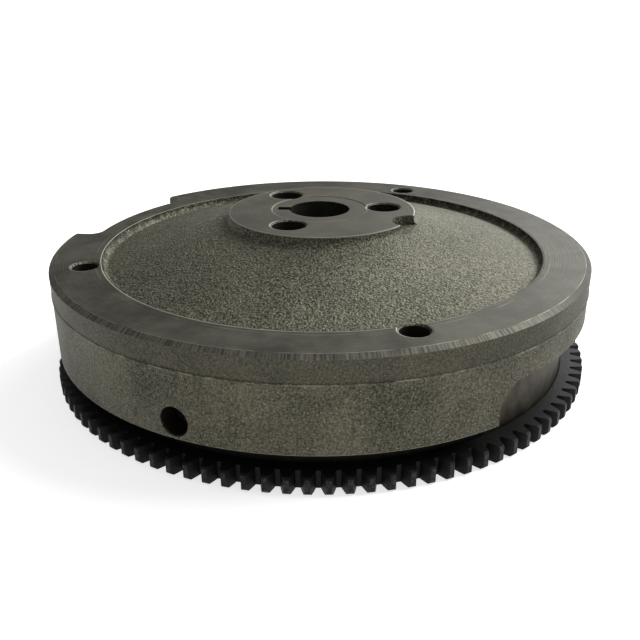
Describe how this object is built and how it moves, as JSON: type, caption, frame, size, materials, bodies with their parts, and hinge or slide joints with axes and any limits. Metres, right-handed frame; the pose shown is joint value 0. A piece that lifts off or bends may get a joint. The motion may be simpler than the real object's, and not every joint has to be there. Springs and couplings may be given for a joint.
{
  "type": "flywheel",
  "caption": "Cast-iron flywheel of a small engine, with shrunk-on starter ring gear, keyed taper bore, faced rim and hub, and an alternator magnet ring inside.",
  "frame": {"origin": "on the turning axis, in the plane of the engine-side face of the casting and ring gear", "axes": "+Z along the turning axis away from the engine, towards the nut and fan side; +X to the right seen from the pictured side, with the hub holes 3 degrees round from it"},
  "size_m": [0.26, 0.26, 0.0736],
  "materials": {
    "cast_iron": "rough sand-cast grain, with faced land and pad",
    "gear_steel": "black oxide",
    "ferrite": "sintered, dull charcoal grey",
    "nylon": "moulded black glass-filled nylon",
    "zinc_steel": "zinc plated"
  },
  "bodies": {
    "root": {"flywheel_casting": "cast_iron", "ring_gear": "gear_steel", "magnet_cage": "nylon", "retaining_ring": "zinc_steel", "magnet_1": "ferrite", "magnet_2": "ferrite", "magnet_3": "ferrite", "magnet_4": "ferrite", "magnet_5": "ferrite", "magnet_6": "ferrite", "magnet_7": "ferrite", "magnet_8": "ferrite", "magnet_9": "ferrite", "magnet_10": "ferrite", "magnet_11": "ferrite", "magnet_12": "ferrite", "retaining_screw_1": "zinc_steel", "retaining_screw_2": "zinc_steel", "retaining_screw_3": "zinc_steel", "retaining_screw_4": "zinc_steel", "retaining_screw_5": "zinc_steel", "retaining_screw_6": "zinc_steel"}
  },
  "joints": []
}
